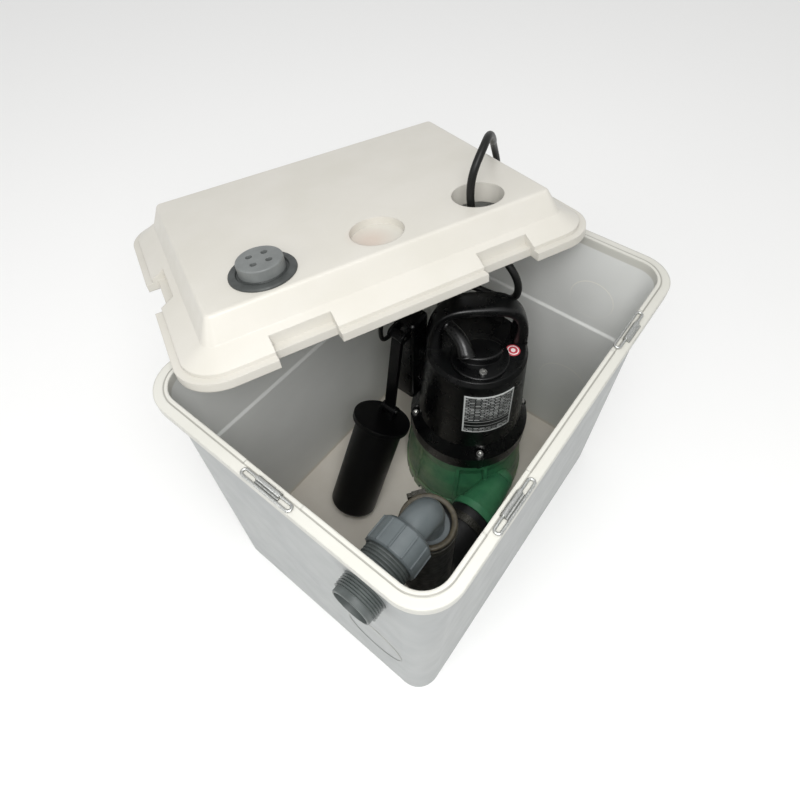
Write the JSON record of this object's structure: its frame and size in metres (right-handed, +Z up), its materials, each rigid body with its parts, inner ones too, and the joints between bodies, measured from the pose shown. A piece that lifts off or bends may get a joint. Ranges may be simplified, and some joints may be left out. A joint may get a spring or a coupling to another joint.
{
  "type": "grey water pump station",
  "caption": "Above-ground waste water lifting station: open moulded tank with submersible pump, float switch, riser hose and threaded outlet, its vented lid set askew on the rim",
  "frame": {"origin": "middle of the tank's underside", "axes": "+Z up, +X along the tank's long side away from the outlet end, +Y towards the side that the lid hangs over"},
  "size_m": [0.5165, 0.5209, 0.4406],
  "materials": {
    "tank_plastic": "moulded polyethylene, fine grain",
    "lid_plastic": "moulded plastic, satin",
    "seal_rubber": "soft black rubber",
    "vent_rubber": "grey rubber",
    "vent_plastic": "grey moulded plastic",
    "zinc_wire": "drawn zinc-plated steel",
    "grey_pvc": "injection-moulded PVC, soft gloss",
    "dark_pvc": "injection-moulded polypropylene",
    "hose_rubber": "black rubber hose",
    "clamp_steel": "stainless steel",
    "black_plastic": "black moulded plastic, soft gloss",
    "float_plastic": "black moulded plastic",
    "green_plastic": "green moulded plastic",
    "inner_plastic": "glass-filled plastic",
    "motor_steel": "laminated and turned steel",
    "bearing_steel": "bearing steel",
    "plate_foil": "plain printed foil, ruled and unlettered",
    "sticker_foil": "plain foil",
    "cord_rubber": "black rubber-sheathed cable",
    "plug_plastic": "black moulded plug"
  },
  "bodies": {
    "station": {"arm_pin": "clamp_steel", "bulkhead": "dark_pvc", "cable_boot": "cord_rubber", "carry_handle": "black_plastic", "clamp_screws": "clamp_steel", "cord_coil": "cord_rubber", "cord_inner": "cord_rubber", "cord_outer": "cord_rubber", "entry_cap": "black_plastic", "entry_screw": "clamp_steel", "handle_studs": "clamp_steel", "housing_screws": "clamp_steel", "housing_seal": "seal_rubber", "latch_clips": "zinc_wire", "lower_bearing": "bearing_steel", "lower_clamp": "clamp_steel", "mains_plug": "plug_plastic", "motor_housing": "black_plastic", "outlet_elbow": "grey_pvc", "outlet_seal": "seal_rubber", "rating_plate": "plate_foil", "riser_hose": "hose_rubber", "round_sticker": "sticker_foil", "seal_plate": "inner_plastic", "shaft_seal": "seal_rubber", "stator": "motor_steel", "strainer": "green_plastic", "switch_housing": "black_plastic", "switch_lead": "cord_rubber", "tank": "tank_plastic", "union_seal": "seal_rubber", "upper_bearing": "bearing_steel", "upper_clamp": "clamp_steel", "valve_pin": "clamp_steel", "valve_seat": "inner_plastic", "volute": "green_plastic"},
    "lid": {"lid": "lid_plastic", "lid_seal": "seal_rubber", "vent_grommet": "vent_rubber"},
    "vent_cap": {"vent_cap": "vent_plastic"},
    "bail_end": {"latch_bail_end": "zinc_wire"},
    "bail_front_left": {"latch_bail_front_left": "zinc_wire"},
    "bail_front_right": {"latch_bail_front_right": "zinc_wire"},
    "bail_back_left": {"latch_bail_back_left": "zinc_wire"},
    "bail_back_right": {"latch_bail_back_right": "zinc_wire"},
    "float_arm": {"float_arm": "float_plastic"},
    "float": {"float_body": "float_plastic", "float_pin": "clamp_steel"},
    "rotor": {"impeller": "inner_plastic", "motor_shaft": "motor_steel"},
    "union_nut": {"union_nut": "grey_pvc"},
    "valve_flap": {"valve_flap": "inner_plastic"}
  },
  "joints": [
    {"name": "lid_lift", "type": "slide", "parent": "station", "child": "lid", "axis": [0, 0, 1], "range_m": [0, 0.12], "deforming": ["cord_outer"]},
    {"name": "vent_cap_turn", "type": "hinge", "parent": "lid", "child": "vent_cap", "pos_m": [-0.0715, 0.13021, 0.38871], "axis": [0.0683, 0.1756, 0.9821], "continuous": true},
    {"name": "bail_end_swing", "type": "hinge", "parent": "station", "child": "bail_end", "pos_m": [-0.1994, 0, 0.3415], "axis": [0, 1, 0], "range_deg": [0, 180]},
    {"name": "bail_front_left_swing", "type": "hinge", "parent": "station", "child": "bail_front_left", "pos_m": [-0.102, -0.1474, 0.3415], "axis": [-1, 0, 0], "range_deg": [0, 180]},
    {"name": "bail_front_right_swing", "type": "hinge", "parent": "station", "child": "bail_front_right", "pos_m": [0.102, -0.1474, 0.3415], "axis": [1, 0, 0], "range_deg": [0, 180]},
    {"name": "bail_back_left_swing", "type": "hinge", "parent": "station", "child": "bail_back_left", "pos_m": [-0.102, 0.1474, 0.3415], "axis": [1, 0, 0], "range_deg": [0, 180]},
    {"name": "bail_back_right_swing", "type": "hinge", "parent": "station", "child": "bail_back_right", "pos_m": [0.102, 0.1474, 0.3415], "axis": [1, 0, 0], "range_deg": [0, 180]},
    {"name": "arm_swing", "type": "hinge", "parent": "station", "child": "float_arm", "pos_m": [0.024, 0.058, 0.262], "axis": [0, 1, 0], "range_deg": [0, 16]},
    {"name": "float_tilt", "type": "hinge", "parent": "float_arm", "child": "float", "pos_m": [0.004, 0.058, 0.143], "axis": [0, 1, 0], "range_deg": [0, 12]},
    {"name": "rotor_spin", "type": "hinge", "parent": "station", "child": "rotor", "pos_m": [0.071, -0.013, 0.15], "axis": [0, 0, 1], "continuous": true},
    {"name": "union_nut_turn", "type": "hinge", "parent": "station", "child": "union_nut", "pos_m": [-0.15, -0.0834, 0.263], "axis": [1, 0, 0], "continuous": true},
    {"name": "valve_flap_lift", "type": "hinge", "parent": "station", "child": "valve_flap", "pos_m": [-0.12934, -0.0834, 0.1444], "axis": [0, -1, 0], "range_deg": [0, 60]}
  ]
}
